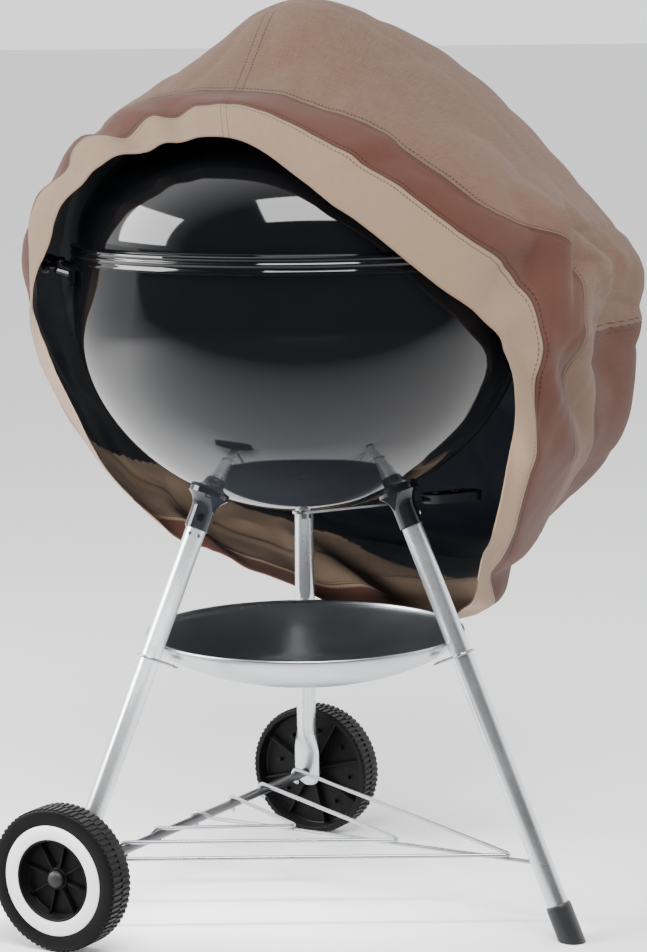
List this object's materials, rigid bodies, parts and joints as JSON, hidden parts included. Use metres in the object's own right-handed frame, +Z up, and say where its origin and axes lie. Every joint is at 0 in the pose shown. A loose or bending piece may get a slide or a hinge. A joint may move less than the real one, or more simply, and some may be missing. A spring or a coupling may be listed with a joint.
{
  "type": "kettle charcoal grill",
  "caption": "Round kettle charcoal grill on a wheeled tripod stand with ash pan, wire shelf, lid damper, ash sweeper, and a fabric weather cover drawn back like a hood.",
  "frame": {"origin": "On the floor, under the middle of the whole object's box.", "axes": "+Z up, front towards -Y, +X to the right as seen from the front."},
  "size_m": [0.7094, 0.7634, 0.9626],
  "materials": {
    "enamel": "gloss black porcelain enamel",
    "chrome": "bright plated",
    "aluminium": "satin",
    "wire": "plated wire, satin",
    "wheel_plastic": "moulded, matt black",
    "white_plastic": "moulded, white",
    "nylon": "moulded, matt black",
    "cover_fabric": "woven coated polyester, taupe and rust bands with a beige hem"
  },
  "bodies": {
    "stand": {"bowl": "enamel", "bowl_handle_rod_left": "enamel", "bowl_handle_rod_right": "enamel", "leg_socket_left": "enamel", "leg_socket_rear": "enamel", "leg_socket_right": "enamel", "leg_left": "chrome", "leg_rear": "chrome", "leg_right": "chrome", "ash_pan": "aluminium", "axle": "wire", "shelf_wire_outer": "wire", "shelf_wire_middle": "wire", "shelf_wire_inner": "wire", "shelf_wire_centre": "wire", "pan_clip_left": "wire", "pan_clip_rear": "wire", "pan_clip_right": "wire", "cooking_grate_rest_1": "wire", "cooking_grate_rest_2": "wire", "cooking_grate_rest_3": "wire", "cooking_grate_rest_4": "wire", "charcoal_grate_rest_1": "wire", "charcoal_grate_rest_2": "wire", "charcoal_grate_rest_3": "wire", "bowl_handle_grip_left": "nylon", "bowl_handle_grip_right": "nylon", "foot_cap": "nylon", "axle_cap_left": "nylon", "axle_cap_rear": "nylon"},
    "wheel_left": {"wheel_left": "wheel_plastic", "wheel_ring_left": "white_plastic"},
    "wheel_rear": {"wheel_rear": "wheel_plastic", "wheel_ring_rear": "white_plastic"},
    "lid": {"lid": "enamel", "lid_handle_rod": "chrome", "lid_handle_grip": "nylon", "damper_rivet": "aluminium"},
    "lid_damper": {"lid_damper": "aluminium"},
    "cooking_grate": {"cooking_grate": "wire"},
    "charcoal_grate": {"charcoal_grate": "wire"},
    "sweeper": {"ash_sweeper": "aluminium", "sweep_spindle": "chrome", "sweep_lever": "chrome", "sweep_lever_grip": "nylon", "lever_rivet_inner": "chrome", "lever_rivet_outer": "chrome"},
    "cover": {"weather_cover": "cover_fabric"},
    "button_left": {"leg_button_left": "chrome"},
    "button_rear": {"leg_button_rear": "chrome"},
    "button_right": {"leg_button_right": "chrome"}
  },
  "joints": [
    {"name": "wheel_left_spin", "type": "hinge", "parent": "stand", "child": "wheel_left", "pos_m": [-0.27242, -0.28061, 0.075], "axis": [-0.5, -0.866, 0], "continuous": true},
    {"name": "wheel_rear_spin", "type": "hinge", "parent": "stand", "child": "wheel_rear", "pos_m": [-0.03016, 0.13899, 0.075], "axis": [0.5, 0.866, 0], "continuous": true},
    {"name": "cover_draw", "type": "slide", "parent": "stand", "child": "cover", "axis": [0, 0.7705, 0.6374], "range_m": [0, 0.75], "deforming": ["weather_cover"]},
    {"name": "lid_lift", "type": "slide", "parent": "stand", "child": "lid", "axis": [0, 0, 1], "range_m": [0, 0.36]},
    {"name": "cooking_grate_lift", "type": "slide", "parent": "stand", "child": "cooking_grate", "axis": [0, 0, 1], "range_m": [0, 0.27]},
    {"name": "charcoal_grate_lift", "type": "slide", "parent": "stand", "child": "charcoal_grate", "axis": [0, 0, 1], "range_m": [0, 0.21]},
    {"name": "lid_damper_turn", "type": "hinge", "parent": "lid", "child": "lid_damper", "pos_m": [-0.05065, -0.02454, 0.8364], "axis": [-0.0573, 0.3248, 0.944], "range_deg": [0, 60]},
    {"name": "sweep_lever_turn", "type": "hinge", "parent": "stand", "child": "sweeper", "pos_m": [-0.03016, -0.14075, 0.426], "axis": [0, 0, 1], "range_deg": [-34, 44]},
    {"name": "button_left_press", "type": "slide", "parent": "stand", "child": "button_left", "axis": [-0.0689, 0.9798, -0.1879], "range_m": [0, 0.004]},
    {"name": "button_rear_press", "type": "slide", "parent": "stand", "child": "button_rear", "axis": [0.8829, -0.4302, -0.1879], "range_m": [0, 0.004]},
    {"name": "button_right_press", "type": "slide", "parent": "stand", "child": "button_right", "axis": [-0.814, -0.5496, -0.188], "range_m": [0, 0.004]}
  ],
  "couplings": [
    {"joint": "lid_lift", "follows": "cover_draw", "ratio": 0.48},
    {"joint": "cooking_grate_lift", "follows": "cover_draw", "ratio": 0.36},
    {"joint": "charcoal_grate_lift", "follows": "cover_draw", "ratio": 0.28}
  ]
}
